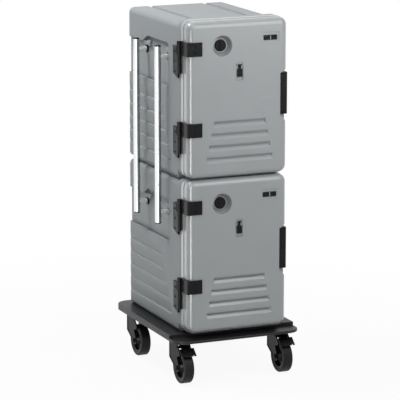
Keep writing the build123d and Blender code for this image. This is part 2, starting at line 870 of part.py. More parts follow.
def axle():
    pin = rod_x(-caster_trail, wheel_radius, axle_radius, -fork_outside, fork_outside)
    head = rod_x(-caster_trail, wheel_radius, axle_head_radius, fork_outside, fork_outside + axle_head_height)
    return pin + both_sides(head)


def brake_pedal():
    """The pedal: a boss between the cheeks, a neck over the tyre, and a wide sloping blade with teeth."""
    half_neck = pedal_neck_width / 2
    half_blade = pedal_width / 2
    tip_y = pedal_pivot_y - pedal_reach
    tip_z = pedal_pivot_z - pedal_slope_drop
    top_z = pedal_pivot_z + pedal_boss_radius
    knee_y = tip_y + pedal_blade
    knee_z = top_z - pedal_neck_drop
    boss = rod_x(pedal_pivot_y, pedal_pivot_z, pedal_boss_radius, -half_neck, half_neck)
    profile = Polygon(
        (pedal_pivot_y, top_z), (knee_y, knee_z), (tip_y, tip_z), (tip_y, tip_z - pedal_thickness / 2),
        (knee_y, knee_z - pedal_thickness), (pedal_pivot_y, top_z - pedal_thickness), align=None,
    )
    neck = along_x(profile, -half_neck, half_neck)
    blade = along_x(profile, -half_blade, half_blade)
    blade = blade & block(-half_blade, half_blade, tip_y - 1, knee_y, 0, caster_height)
    pitch = pedal_width / pedal_teeth
    for index in range(pedal_teeth - 1):
        x = -half_blade + (index + 1) * pitch
        notch = Polygon(
            (x - pitch / 3, tip_y - 1), (x + pitch / 3, tip_y - 1), (x, tip_y + pedal_tooth_depth),
            align=None,
        )
        blade -= along_z(notch, 0, caster_height)
    pin = rod_x(pedal_pivot_y, pedal_pivot_z, pedal_pin_radius, -fork_outside, fork_outside)
    return boss + neck + blade + pin


def save(name, shapes):
    if not isinstance(shapes, (list, tuple)):
        shapes = [shapes]
    solids = [solid for shape in shapes for solid in shape.solids()]
    export_step(Compound(children=solids) if len(solids) > 1 else solids[0], f"parts/{name}.step")


def save_box(prefix, base):
    lift = Pos(0, 0, base)

    def put(name, shapes):
        save(f"{prefix}_{name}", [lift * shape for shape in shapes])

    put("box_body", [box_body()])
    put("door", [door_body()])
    put("door_gasket", [gasket()])
    put("hinge_door_leaves", [hinge_door_leaf(z) for z in hinge_heights])
    put("hinge_body_leaves", [hinge_body_leaf(z) for z in hinge_heights])
    put("hinge_pins", [hinge_pin(z) for z in hinge_heights])
    put("latch_base", [latch_base()])
    put("latch_lever", [latch_lever()])
    put("latch_pin", [latch_pin()])
    put("latch_keeper", [latch_keeper()])
    put("vent_ring", [vent_ring()])
    put("vent_knob", [vent_knob()])
    put("card_clip_base", [clip_base()])
    put("card_clip_tongue", [clip_tongue()])
    put("blank_tag", [blank_tag()])


def save_push_bars():
    bars = [push_bar(y) for y in bar_places]
    caps = [cap for y in bar_places for cap in bar_caps(y)]
    seats = [(y, base + bar_fix_height) for y in bar_places for base in box_bases.values()]
    rods = [standoff(y, z) for y, z in seats]
    bushes = [bush(y, z) for y, z in seats]
    for name, shapes in (("push_bars", bars), ("bar_end_caps", caps), ("bar_standoffs", rods),
                         ("standoff_bushes", bushes)):
        save(f"right_{name}", shapes)
        save(f"left_{name}", [mirror(shape, Plane.YZ) for shape in shapes])


def save_casters():
    """The four casters. The back right one stands turned half round, its wheel trailing to the back."""
    places = {"front_left": (-1, -1, 0), "front_right": (1, -1, 0), "back_left": (-1, 1, 0),
              "back_right": (1, 1, back_right_turn)}
    spots = {name: Pos(side * caster_x, end * caster_y, 0) * Rot(0, 0, turn)
             for name, (side, end, turn) in places.items()}
    plate, yoke, ring, core, pin = top_plate(), fork(), tyre(), wheel_core(), axle()
    pedal = brake_pedal()
    save("caster_top_plates", [spot * plate for spot in spots.values()])
    for name, spot in spots.items():
        save(f"{name}_fork", spot * yoke)
        save(f"{name}_tyre", spot * ring)
        save(f"{name}_wheel_core", spot * core)
        save(f"{name}_axle", spot * pin)
        if name.startswith("front"):
            save(f"{name}_brake_pedal", spot * pedal)


os.makedirs("parts", exist_ok=True)
save("dolly_base_plate", base_plate())
save("dolly_deck", deck())
for prefix, base in box_bases.items():
    save_box(prefix, base)
save_push_bars()
save_casters()
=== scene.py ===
import json
import math

import bmesh
import bpy
from mathutils import Matrix, Vector


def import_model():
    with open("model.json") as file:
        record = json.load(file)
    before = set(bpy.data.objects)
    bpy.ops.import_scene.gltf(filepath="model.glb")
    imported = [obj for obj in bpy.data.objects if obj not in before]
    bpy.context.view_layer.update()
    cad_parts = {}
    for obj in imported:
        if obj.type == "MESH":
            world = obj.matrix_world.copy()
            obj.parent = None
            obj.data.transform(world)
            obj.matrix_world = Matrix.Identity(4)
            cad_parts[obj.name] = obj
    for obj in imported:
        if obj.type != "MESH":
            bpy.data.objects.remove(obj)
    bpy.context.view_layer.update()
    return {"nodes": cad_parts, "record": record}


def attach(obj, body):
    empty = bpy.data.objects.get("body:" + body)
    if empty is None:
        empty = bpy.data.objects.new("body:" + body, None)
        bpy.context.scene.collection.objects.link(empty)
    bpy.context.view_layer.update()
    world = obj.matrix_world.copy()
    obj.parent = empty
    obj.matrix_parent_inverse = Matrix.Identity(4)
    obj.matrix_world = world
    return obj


# Insulated food transport cart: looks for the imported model. Metres, +Z up, the doors face -Y.
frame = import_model()

# Colours, as linear red, green and blue
SHELL_GREY = (0.325, 0.348, 0.358)
DOOR_GREY = (0.332, 0.354, 0.363)
NYLON_BLACK = (0.0048, 0.0048, 0.0054)
DOLLY_CHARCOAL = (0.0120, 0.0120, 0.0133)
POWDER_BLACK = (0.0048, 0.0048, 0.0054)
TYRE_GREY = (0.0062, 0.0062, 0.0066)
WHEEL_GREY = (0.0052, 0.0052, 0.0058)
RING_GREY = (0.42, 0.44, 0.45)
STEEL = (0.56, 0.57, 0.58)
SATIN_STEEL = (0.93, 0.935, 0.94)
RUBBER_BLACK = (0.010, 0.010, 0.010)
# Worn colours: pale on scuffs as real wear, and on edges partly rubbed wear and partly a painted edge
# highlight
SHELL_WEAR_AND_HIGHLIGHT = (0.43, 0.455, 0.465)
BLACK_WEAR_AND_HIGHLIGHT = (0.17, 0.17, 0.174)
CHARCOAL_WEAR_AND_HIGHLIGHT = (0.24, 0.24, 0.245)
DUST = (0.16, 0.155, 0.15)
WHITE = (1, 1, 1, 1)

# Noise patterns. A scale counts waves per metre, and a range is where a mask starts and where it is full.
# The other values weigh a pattern's part in the tone, the roughness or the edge mask, which is partly wear
# and partly painted edge highlight.
NOISE_MEAN = 0.5
SWIRL_SCALE = 7.0
SWIRL_TONE = 1.4
SWIRL_ROUGHNESS = 0.15
SPECKLE_SCALE = 420.0
SPECKLE_TONE = 0.5
SCRATCH_RANGE = (0.66, 0.72)
SCRATCH_PATCH_RANGE = (0.52, 0.68)
SCRATCH_ROUGHNESS = 0.2
WEAR_AND_HIGHLIGHT_BREAK_RANGE = (0.35, 0.65)
LEAST_WEAR_AND_HIGHLIGHT = 0.35
CLOUD_SCALE = 28.0
CLOUD_RANGE = (0.35, 0.75)
ACROSS_GRINDING_SCALE = 30.0
SMEAR_SCALE = 9.0
# Edge wear and painted edge highlight start, and are full, at these cosines between an edge's rounded normal
# and its true one
EDGE_COSINES = (0.985, 0.86)
BEVEL_SAMPLES = 6
# Depth of the grinding lines, in metres
GRINDING_DEPTH = 0.0000012

# Camera, where the photograph was taken from
CAMERA_AT = (-3.820, -8.851, 2.673)
CAMERA_TARGET = (-0.0226, 0.0097, 0.6509)
CAMERA_LENS = 225.8
SENSOR = 36.0
NEAREST_SEEN = 0.1
FURTHEST_SEEN = 100.0

# Studio light, and the floor from the shaded ring under the cart to the white far away
HORIZON_LIGHT = 0.09
OVERHEAD_LIGHT = 0.30
FLOOR_WHITE = 0.93
FLOOR_SHADE_RADIUS = 0.7
FLOOR_WHITE_RADIUS = 2.2
FLOOR_COLOUR = (0.88, 0.88, 0.88, 1)
FLOOR_ROUGHNESS = 0.9
FLOOR_GLOSS = 0.1
FLOOR_SIZE = 40.0
# Lamps: name, place, aim, width, height, power in watts, and what shows its light
FULL, GLOSS, MATT = "all", "reflections", "shading"
DOOR_EDGE = (-0.207, -0.280)
LAMPS = (
    ("front lamp", (0.4, -1.5, 1.75), (0.0, -0.3, 1.0), 1.2, 1.2, 12.8, FULL),
    ("upper left lamp", (-0.9, -1.4, 2.9), (0.0, 0.0, 0.8), 1.6, 1.6, 11.0, FULL),
    ("high left lamp", (-1.15, 0.6, 2.9), (0.0, 0.0, 0.8), 0.8, 0.8, 34.0, FULL),
    ("right back lamp", (1.9, 2.0, 1.5), (0.0, 0.0, 0.8), 1.8, 1.8, 26.0, MATT),
    ("left strip", (-0.813, -0.945, 0.62), (*DOOR_EDGE, 0.62), 0.26, 1.3, 10.5, GLOSS),
    ("left glow", (-1.173, -0.021, 0.62), (*DOOR_EDGE, 0.62), 1.1, 1.3, 3.0, GLOSS),
    ("back glow", (-0.676, 0.825, 0.56), (*DOOR_EDGE, 0.56), 0.7, 1.1, 1.6, GLOSS),
)


def shader_group(name, inputs, outputs):
    """A new node group with named sockets, and its input and output nodes."""
    tree = bpy.data.node_groups.new(name, "ShaderNodeTree")
    for label, kind, value in inputs:
        socket = tree.interface.new_socket(name=label, in_out="INPUT", socket_type=kind)
        socket.default_value = value
    for label, kind in outputs:
        tree.interface.new_socket(name=label, in_out="OUTPUT", socket_type=kind)
    return tree, tree.nodes.new("NodeGroupInput"), tree.nodes.new("NodeGroupOutput")


def add(tree, kind, **settings):
    """A new node, with its properties set, and any socket given by name or place in inputs."""
    sockets = settings.pop("inputs", {})
    node = tree.nodes.new(kind)
    for key, value in settings.items():
        setattr(node, key, value)
    for key, value in sockets.items():
        if isinstance(value, bpy.types.NodeSocket):
            tree.links.new(value, node.inputs[key])
        else:
            node.inputs[key].default_value = value
    return node


def maths(tree, operation, first, second, clamp=False):
    node = add(tree, "ShaderNodeMath", operation=operation, use_clamp=clamp, inputs={0: first, 1: second})
    return node.outputs[0]


def swing(tree, value, weight):
    """A noise moved to swing about zero, times a weight."""
    return maths(tree, "MULTIPLY", maths(tree, "SUBTRACT", value, NOISE_MEAN), weight)


def mask_of(tree, first, second, amount):
    """Two masks and an amount, multiplied and kept from 0 to 1."""
    return maths(tree, "MULTIPLY", maths(tree, "MULTIPLY", first, second), amount, clamp=True)


def mix_colours(tree, factor, first, second):
    node = add(tree, "ShaderNodeMix", data_type="RGBA", inputs={0: factor, 6: first, 7: second})
    return node.outputs[2]


def coordinates(tree, kind="Object"):
    return tree.nodes.new("ShaderNodeTexCoord").outputs[kind]


def height_of(tree, vector):
    return add(tree, "ShaderNodeSeparateXYZ", inputs={0: vector}).outputs["Z"]


def stretch(tree, vector, amounts):
    return add(tree, "ShaderNodeVectorMath", operation="MULTIPLY", inputs={0: vector, 1: amounts}).outputs[0]


def noise(tree, vector, scale, detail=3.0, roughness=0.5):
    node = add(tree, "ShaderNodeTexNoise",
               inputs={"Vector": vector, "Scale": scale, "Detail": detail, "Roughness": roughness})
    return node.outputs["Fac"]


def remap(tree, value, low, high, to_low=0.0, to_high=1.0):
    ends = {"From Min": low, "From Max": high, "To Min": to_low, "To Max": to_high}
    return add(tree, "ShaderNodeMapRange", inputs={"Value": value, **ends}).outputs["Result"]


def pebbled_skin_group():
    """Moulded plastic: a fine pebbled skin with slow, faint changes of tone."""
    tree, given, made = shader_group(
        "pebbled skin",
        [("Colour", "NodeSocketColor", (0.3, 0.3, 0.3, 1)), ("Grain size", "NodeSocketFloat", 900.0),
         ("Tone change", "NodeSocketFloat", 0.06), ("Roughness", "NodeSocketFloat", 0.45)],
        [("Colour", "NodeSocketColor"), ("Roughness", "NodeSocketFloat"), ("Height", "NodeSocketFloat")])
    place = coordinates(tree)
    pebble = noise(tree, place, given.outputs["Grain size"], detail=2.0)
    swirl = noise(tree, place, SWIRL_SCALE, detail=4.0, roughness=0.6)
    speckle = noise(tree, place, SPECKLE_SCALE, detail=1.0)
    tone = maths(tree, "ADD", swing(tree, swirl, SWIRL_TONE), swing(tree, speckle, SPECKLE_TONE))
    level = maths(tree, "ADD", maths(tree, "MULTIPLY", tone, given.outputs["Tone change"]), 1.0)
    shade = add(tree, "ShaderNodeVectorMath", operation="SCALE",
                inputs={0: given.outputs["Colour"], "Scale": level}).outputs[0]
    rough = maths(tree, "ADD", given.outputs["Roughness"], swing(tree, swirl, SWIRL_ROUGHNESS))
    tree.links.new(shade, made.inputs["Colour"])
    tree.links.new(rough, made.inputs["Roughness"])
    tree.links.new(pebble, made.inputs["Height"])
    return tree


def scuff_group():
    """Light marks of use: a mask of short thin scratches in patches."""
    tree, given, made = shader_group(
        "scuffs",
        [("Amount", "NodeSocketFloat", 0.5), ("Patch size", "NodeSocketFloat", 6.0),
         ("Stretch", "NodeSocketVector", (12.0, 12.0, 160.0))],
        [("Mask", "NodeSocketFloat")])
    place = coordinates(tree)
    stretched = stretch(tree, place, given.outputs["Stretch"])
    lines = remap(tree, noise(tree, stretched, 1.0, detail=2.0), *SCRATCH_RANGE)
    patches = remap(tree, noise(tree, place, given.outputs["Patch size"], detail=2.0), *SCRATCH_PATCH_RANGE)
    tree.links.new(mask_of(tree, lines, patches, given.outputs["Amount"]), made.inputs["Mask"])
    return tree


def worn_and_highlit_edge_group():
    """Edges: a normal that rounds each sharp edge off, and a broken mask where the edge is painted pale,
    partly as rubbed wear and partly as a painted highlight.
    """
    tree, given, made = shader_group(
        "worn and highlit edges",
        [("Radius", "NodeSocketFloat", 0.001), ("Amount", "NodeSocketFloat", 0.5),
         ("Patch size", "NodeSocketFloat", 60.0)],
        [("Mask", "NodeSocketFloat"), ("Normal", "NodeSocketVector")])
    place = coordinates(tree)
    true_normal = tree.nodes.new("ShaderNodeNewGeometry").outputs["Normal"]
    bevel = add(tree, "ShaderNodeBevel", samples=BEVEL_SAMPLES, inputs={"Radius": given.outputs["Radius"]})
    rounded = bevel.outputs["Normal"]
    along = add(tree, "ShaderNodeVectorMath", operation="DOT_PRODUCT", inputs={0: rounded, 1: true_normal})
    edge = remap(tree, along.outputs["Value"], *EDGE_COSINES)
    patches = noise(tree, place, given.outputs["Patch size"], detail=3.0, roughness=0.6)
    breaks = remap(tree, patches, *WEAR_AND_HIGHLIGHT_BREAK_RANGE, to_low=LEAST_WEAR_AND_HIGHLIGHT)
    # The mask paints a pale edge: partly rubbed wear, partly a painted edge highlight
    tree.links.new(mask_of(tree, edge, breaks, given.outputs["Amount"]), made.inputs["Mask"])
    tree.links.new(rounded, made.inputs["Normal"])
    return tree


def floor_dust_group():
    """Dust that is thicker near the floor and broken up by noise."""
    tree, given, made = shader_group(
        "floor dust",
        [("Amount", "NodeSocketFloat", 0.4), ("Reach", "NodeSocketFloat", 0.2)],
        [("Mask", "NodeSocketFloat")])
    place = coordinates(tree)
    low = remap(tree, height_of(tree, place), given.outputs["Reach"], 0.0)
    cloud = remap(tree, noise(tree, place, CLOUD_SCALE, detail=5.0, roughness=0.65), *CLOUD_RANGE)
    tree.links.new(mask_of(tree, low, cloud, given.outputs["Amount"]), made.inputs["Mask"])
    return tree


def grinding_group():
    """Fine grinding lines for steel, running round a bar that stands along Z."""
    tree, given, made = shader_group(
        "grinding lines",
        [("Fineness", "NodeSocketFloat", 1400.0), ("Roughness", "NodeSocketFloat", 0.2),
         ("Spread", "NodeSocketFloat", 0.12)],
        [("Roughness", "NodeSocketFloat"), ("Height", "NodeSocketFloat")])
    place = coordinates(tree)
    scale = add(tree, "ShaderNodeCombineXYZ", inputs={
        "X": ACROSS_GRINDING_SCALE, "Y": ACROSS_GRINDING_SCALE, "Z": given.outputs["Fineness"]})
    lines = noise(tree, stretch(tree, place, scale.outputs[0]), 1.0, detail=3.0, roughness=0.6)
    smear = noise(tree, place, SMEAR_SCALE, detail=3.0)
    swung = maths(tree, "SUBTRACT", maths(tree, "ADD", lines, smear), 2 * NOISE_MEAN)
    spread = maths(tree, "MULTIPLY", swung, given.outputs["Spread"])
    tree.links.new(maths(tree, "ADD", given.outputs["Roughness"], spread), made.inputs["Roughness"])
    tree.links.new(lines, made.inputs["Height"])
    return tree


SKIN = pebbled_skin_group()
SCUFFS = scuff_group()
WORN_AND_HIGHLIT_EDGES = worn_and_highlit_edge_group()
FLOOR_DUST = floor_dust_group()
GRINDING = grinding_group()


def start_material(name):
    material = bpy.data.materials.new(name)
    material.use_nodes = True
    tree = material.node_tree
    tree.nodes.clear()
    output = tree.nodes.new("ShaderNodeOutputMaterial")
    shader = tree.nodes.new("ShaderNodeBsdfPrincipled")
    tree.links.new(shader.outputs["BSDF"], output.inputs["Surface"])
    return material, tree, shader


def use(tree, group, **values):
    """The node group placed in a material, with its own values; _ stands for a space in a name."""
    node = tree.nodes.new("ShaderNodeGroup")
    node.node_tree = group
    for key, value in values.items():
        node.inputs[key.replace("_", " ")].default_value = value
    return node


def bump(tree, shader, height, distance, normal=None):
    node = add(tree, "ShaderNodeBump", inputs={"Height": height, "Distance": distance, "Strength": 1.0})
    if normal is not None:
        tree.links.new(normal, node.inputs["Normal"])
    tree.links.new(node.outputs["Normal"], shader.inputs["Normal"])


def moulded(name, colour, wear_and_highlight_colour, roughness, gloss, grain=900.0, height=0.00006, tone=0.06, scuffs=0.3,
            edge=0.0008, wear_and_highlight=0.4, dust=0.0, reach=0.25, sheen=0.0, sheen_roughness=0.2):
    """A moulded or coated finish: pebbled skin, rounded edges painted pale partly as wear and partly as a
    painted highlight, pale scuffs and some floor dust.

    gloss is the shader's specular level, and sheen the weight of a smoother skin over it. height and edge
    are in metres: how deep the pebbles are, and the radius that its sharp edges show.
    """
    material, tree, shader = start_material(name)
    shader.inputs["Specular IOR Level"].default_value = gloss
    shader.inputs["Coat Weight"].default_value = sheen
    shader.inputs["Coat Roughness"].default_value = sheen_roughness
    skin = use(tree, SKIN, Colour=(*colour, 1), Grain_size=grain, Tone_change=tone, Roughness=roughness)
    edges = use(tree, WORN_AND_HIGHLIT_EDGES, Radius=edge, Amount=wear_and_highlight)
    marks = use(tree, SCUFFS, Amount=scuffs).outputs["Mask"]
    # Pale scuffs are real marks; the pale edges are partly rubbed wear and partly a painted edge highlight
    scuffed_and_highlit = maths(tree, "MAXIMUM", marks, edges.outputs["Mask"])
    shade = mix_colours(tree, scuffed_and_highlit, skin.outputs["Colour"], (*wear_and_highlight_colour, 1))
    if dust:
        dirt = use(tree, FLOOR_DUST, Amount=dust, Reach=reach)
        shade = mix_colours(tree, dirt.outputs["Mask"], shade, (*DUST, 1))
    tree.links.new(shade, shader.inputs["Base Color"])
    scratched = maths(tree, "MULTIPLY", marks, SCRATCH_ROUGHNESS)
    rough = maths(tree, "ADD", skin.outputs["Roughness"], scratched, clamp=True)
    tree.links.new(rough, shader.inputs["Roughness"])
    bump(tree, shader, skin.outputs["Height"], height, edges.outputs["Normal"])
    return material


def stainless(name, colour, roughness, metal=1.0):
    """Stainless steel with fine grinding lines; a lower metal value gives a paler, satin look."""
    material, tree, shader = start_material(name)
    shader.inputs["Base Color"].default_value = (*colour, 1)
    shader.inputs["Metallic"].default_value = metal
    lines = use(tree, GRINDING, Fineness=700.0, Roughness=roughness, Spread=0.03)
    tree.links.new(lines.outputs["Roughness"], shader.inputs["Roughness"])
    bump(tree, shader, lines.outputs["Height"], GRINDING_DEPTH)
    return material


# In each finish the pale edge colour is partly rubbed wear and partly a painted edge highlight
MATERIALS = {
    "grey_polyethylene": moulded(
        "grey shell", SHELL_GREY, SHELL_WEAR_AND_HIGHLIGHT, roughness=0.45, gloss=0.1, edge=0.0025, wear_and_highlight=0.35),
    "door_polyethylene": moulded(
        "grey door", DOOR_GREY, SHELL_WEAR_AND_HIGHLIGHT, roughness=0.34, gloss=0.5, edge=0.0018, wear_and_highlight=0.25,
        sheen=0.8, sheen_roughness=0.19),
    "charcoal_plastic": moulded(
        "charcoal dolly", DOLLY_CHARCOAL, CHARCOAL_WEAR_AND_HIGHLIGHT, roughness=0.40, gloss=0.2, grain=700.0,
        height=0.00010, edge=0.0036, wear_and_highlight=1.0, dust=0.05, reach=0.3, sheen=0.08, sheen_roughness=0.28),
    "black_nylon": moulded(
        "black nylon", NYLON_BLACK, BLACK_WEAR_AND_HIGHLIGHT, roughness=0.38, gloss=0.15, grain=1500.0, height=0.00004,
        wear_and_highlight=0.5),
    "pale_ring": moulded(
        "pale ring", RING_GREY, RING_GREY, roughness=0.30, gloss=0.5, grain=1500.0, height=0.00002,
        scuffs=0.1),
    "gasket_rubber": moulded(
        "gasket rubber", RUBBER_BLACK, RUBBER_BLACK, roughness=0.62, gloss=0.2, grain=1800.0,
        height=0.00003, scuffs=0.0),
    "stainless": stainless("stainless", STEEL, roughness=0.17),
    "dark_steel": moulded(
        "black powder coat", POWDER_BLACK, BLACK_WEAR_AND_HIGHLIGHT, roughness=0.38, gloss=0.12, grain=1600.0,
        height=0.00005, edge=0.0014, wear_and_highlight=0.6, dust=0.04),
    "grey_tyre": moulded(
        "tyre rubber", TYRE_GREY, BLACK_WEAR_AND_HIGHLIGHT, roughness=0.50, gloss=0.2, grain=1300.0, height=0.00005,
        wear_and_highlight=0.25, dust=0.08, reach=0.10),
    "wheel_plastic": moulded(
        "wheel plastic", WHEEL_GREY, BLACK_WEAR_AND_HIGHLIGHT, roughness=0.38, gloss=0.2, grain=1300.0, height=0.00004,
        wear_and_highlight=0.5, dust=0.05),
}
BLACK_SCREW = moulded(
    "black screws", POWDER_BLACK, POWDER_BLACK, roughness=0.40, gloss=0.10, scuffs=0.0, wear_and_highlight=0.0)
SATIN_ROD = stainless("satin rod", SATIN_STEEL, roughness=0.34, metal=0.10)
SATIN_NODES = ("left_bar_standoffs", "right_bar_standoffs")


def dress_cad_nodes():
    """Every CAD node takes the material of its slot in the record, and the standoffs their satin one."""
    for part in frame["record"]["subparts"]:
        node = frame["nodes"][part["node"]]
        node.data.materials.clear()
        finish = SATIN_ROD if part["node"] in SATIN_NODES else MATERIALS[part["material_slot"]]
        node.data.materials.append(finish)


dress_cad_nodes()

# Sizes of the added pieces, in metres
SCREW_RADIUS = 0.0045
SCREW_HEIGHT = 0.0020
SOCKET_RADIUS = 0.0019
NUT_RADIUS = 0.0085
NUT_HEIGHT = 0.0032
# Corners of a ring and of a rounded corner, a corner's least radius, and the angle that stays sharp
ROUND_STEPS = 24
CORNER_STEPS = 5
LEAST_CORNER_SHARE = 0.2
SMOOTH_ANGLE = math.radians(35)
# Rings, from the base up: corner radius, height and outline. The screw has a six-sided head with a domed
# top and a six-sided socket; the nut has a chamfered face and the end of its bolt.
ROUND, HEXAGON = "round", "hexagon"
SCREW_RINGS = (
    (SCREW_RADIUS, 0.0, HEXAGON),
    (SCREW_RADIUS, SCREW_HEIGHT * 0.4, HEXAGON),
    (SCREW_RADIUS * 0.88, SCREW_HEIGHT * 0.8, HEXAGON),
    (SCREW_RADIUS * 0.62, SCREW_HEIGHT, HEXAGON),
    (SOCKET_RADIUS, SCREW_HEIGHT, HEXAGON),
    (SOCKET_RADIUS * 0.94, SCREW_HEIGHT * 0.35, HEXAGON),
)
NUT_RINGS = (
    (NUT_RADIUS, 0.0, HEXAGON),
    (NUT_RADIUS, NUT_HEIGHT * 0.8, HEXAGON),
    (NUT_RADIUS * 0.86, NUT_HEIGHT, HEXAGON),
    (NUT_RADIUS * 0.5, NUT_HEIGHT, HEXAGON),
    (NUT_RADIUS * 0.46, NUT_HEIGHT * 1.25, HEXAGON),
    (NUT_RADIUS * 0.36, NUT_HEIGHT * 1.4, ROUND),
)
# Rings of the tag's plates, from the base up: inset and height
TAG_PANEL_RINGS = ((0.0, 0.0), (0.0, 0.0004), (0.0005, 0.0008), (0.0014, 0.0008), (0.0019, 0.0004))
TAG_PANEL_CORNER = 0.0015
TAG_DIVIDER_RINGS = ((0.0, 0.0), (0.0, 0.0007), (0.0005, 0.0010))
TAG_DIVIDER_CORNER = 0.0008
# One rib of the latch grip: shares of the pitch, and whether the outline is at the rib's top there
RIB_OUTLINE = ((0.0, False), (0.24, False), (0.36, True), (0.76, True), (0.88, False))
RIB_FLOOR_SHARE = 0.35
FORWARD, LEFTWARD, RIGHTWARD, DOWNWARD = (0, -1, 0), (-1, 0, 0), (1, 0, 0), (0, 0, -1)


def add_piece(name, shape, body, slot, finish=None):
    """A finished mesh that rides on a body and takes the finish of a slot, or its own."""
    mesh = bpy.data.meshes.new(name)
    bmesh.ops.recalc_face_normals(shape, faces=shape.faces)
    shape.to_mesh(mesh)
    shape.free()
    piece = bpy.data.objects.new(name, mesh)
    bpy.context.scene.collection.objects.link(piece)
    mesh.materials.append(finish or MATERIALS[slot])
    mesh.shade_smooth()
    mesh.set_sharp_from_angle(angle=SMOOTH_ANGLE)
    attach(piece, body)


def facing(direction, at):
    """A placement whose local +Z points along direction, with its origin at the given point."""
    turn = Vector(direction).to_track_quat("Z", "Y").to_matrix().to_4x4()
    return Matrix.Translation(at) @ turn


def close_form(shape, loops):
    """Walls between each ring of corners and the next, and a face on the first and the last."""
    for below, above in zip(loops, loops[1:]):
        for step in range(len(below)):
            after = (step + 1) % len(below)
            shape.faces.new((below[step], below[after], above[after], above[step]))
    shape.faces.new(loops[0][::-1])
    shape.faces.new(loops[-1])


def hexagon_reach(angle, radius):
    """How far a hexagon of this corner radius reaches at an angle."""
    sixth = math.radians(60)
    return radius * math.cos(sixth / 2) / math.cos(angle % sixth - sixth / 2)


def turned(shape, place, rings):
    """A closed form from rings about local Z."""
    loops = []
    for radius, height, outline in rings:
        loop = []
        for step in range(ROUND_STEPS):
            angle = 2 * math.pi * step / ROUND_STEPS
            reach = hexagon_reach(angle, radius) if outline == HEXAGON else radius
            corner = Vector((reach * math.cos(angle), reach * math.sin(angle), height))
            loop.append(shape.verts.new(place @ corner))
        loops.append(loop)
    close_form(shape, loops)


def ribbed_pad(shape, place, width, length, ribs, rise):
    """A thin pad on local +Z with flat-topped ribs across its width, one after another along local Y."""
    floor = rise * RIB_FLOOR_SHARE
    pitch = length / ribs
    outline = [(-length / 2, 0.0)]
    for rib in range(ribs):
        start = -length / 2 + rib * pitch
        outline += [(start + pitch * share, rise if on_top else floor) for share, on_top in RIB_OUTLINE]
    outline += [(length / 2, floor), (length / 2, 0.0)]
    loops = []
    for across in (-width / 2, width / 2):
        loops.append([shape.verts.new(place @ Vector((across, along, up))) for along, up in outline])
    close_form(shape, loops)


def plaque(shape, place, width, height, corner, rings):
    """A plate with rounded corners on local +Z."""
    loops = []
    for inset, up in rings:
        loop = []
        radius = max(corner - inset, corner * LEAST_CORNER_SHARE)
        for quarter in range(4):
            across = (width / 2 - inset - radius) * (1 if quarter in (0, 3) else -1)
            along = (height / 2 - inset - radius) * (1 if quarter in (0, 1) else -1)
            for step in range(CORNER_STEPS):
                angle = math.pi / 2 * (quarter + step / (CORNER_STEPS - 1))
                loop.append(shape.verts.new(place @ Vector((
                    across + radius * math.cos(angle), along + radius * math.sin(angle), up))))
        loops.append(loop)
    close_form(shape, loops)


# Places of the added pieces, in metres, as they are on the lower box; the upper box adds its lift
BOX_LIFTS = {"lower": 0.0, "upper": 0.6055}
HINGE_HEIGHTS = (0.3845, 0.6925)
DOOR_LEAF_SCREWS = (-0.178, -0.311)
DOOR_LEAF_SCREW_STEP = 0.012
BODY_LEAF_SCREWS = (-0.215, -0.197)
BODY_LEAF_SCREW_DROPS = (0.018, 0.056, 0.094)
LATCH_SCREWS = (0.211, -0.197)
LATCH_SCREW_HEIGHTS = (0.441, 0.5015, 0.562)
LATCH_GRIP = (0.195, -0.286, 0.5015)
LATCH_GRIP_WIDTH = 0.021
LATCH_GRIP_LENGTH = 0.138
LATCH_GRIP_RIBS = 19
LATCH_GRIP_RISE = 0.0009
# Across the door, the middle and the width of each
TAG_PANELS = ((0.1182, 0.0225), (0.1465, 0.0225))
TAG_DIVIDER = ((0.13235, 0.0030),)
TAG_FACE = -0.306
TAG_HEIGHT = 0.722
TAG_PANEL_HEIGHT = 0.0150
# Across and back to the swivel's axis, and back to the axle
CASTERS = {
    "front_left": (-0.208, -0.222, -0.263),
    "front_right": (0.208, -0.222, -0.263),
    "back_left": (-0.208, 0.222, 0.181),
    "back_right": (0.208, 0.222, 0.263),
}
TOP_PLATE_UNDERSIDE = 0.164
TOP_PLATE_BOLTS = (0.031, 0.038)
AXLE_HEIGHT = 0.0625
AXLE_END = 0.0315


def tag_plates(name, body, slot, plates, height, corner, rings):
    """Small plates side by side on the blank tag."""
    shape = bmesh.new()
    for middle, width in plates:
        plaque(shape, facing(FORWARD, (middle, TAG_FACE, height)), width, TAG_PANEL_HEIGHT, corner, rings)
    add_piece(name, shape, body, slot)


def dress_door(box, lift):
    """Screws of the hinge leaves, ribs on the latch grip and the plates of the blank tag."""
    door = f"{box}_door"
    shape = bmesh.new()
    across, face = DOOR_LEAF_SCREWS
    for height in HINGE_HEIGHTS:
        for step in (-DOOR_LEAF_SCREW_STEP, DOOR_LEAF_SCREW_STEP):
            turned(shape, facing(FORWARD, (across, face, height + step + lift)), SCREW_RINGS)
    add_piece(f"{box}_door_leaf_screws", shape, door, "dark_steel", BLACK_SCREW)
    tag_plates(f"{box}_tag_panels", door, "black_nylon", TAG_PANELS, TAG_HEIGHT + lift,
               TAG_PANEL_CORNER, TAG_PANEL_RINGS)
    tag_plates(f"{box}_tag_divider", door, "pale_ring", TAG_DIVIDER, TAG_HEIGHT + lift,
               TAG_DIVIDER_CORNER, TAG_DIVIDER_RINGS)
    shape = bmesh.new()
    across, face, height = LATCH_GRIP
    ribbed_pad(shape, facing(FORWARD, (across, face, height + lift)), LATCH_GRIP_WIDTH, LATCH_GRIP_LENGTH,
               LATCH_GRIP_RIBS, LATCH_GRIP_RISE)
    add_piece(f"{box}_latch_grip", shape, f"{box}_latch", "black_nylon")


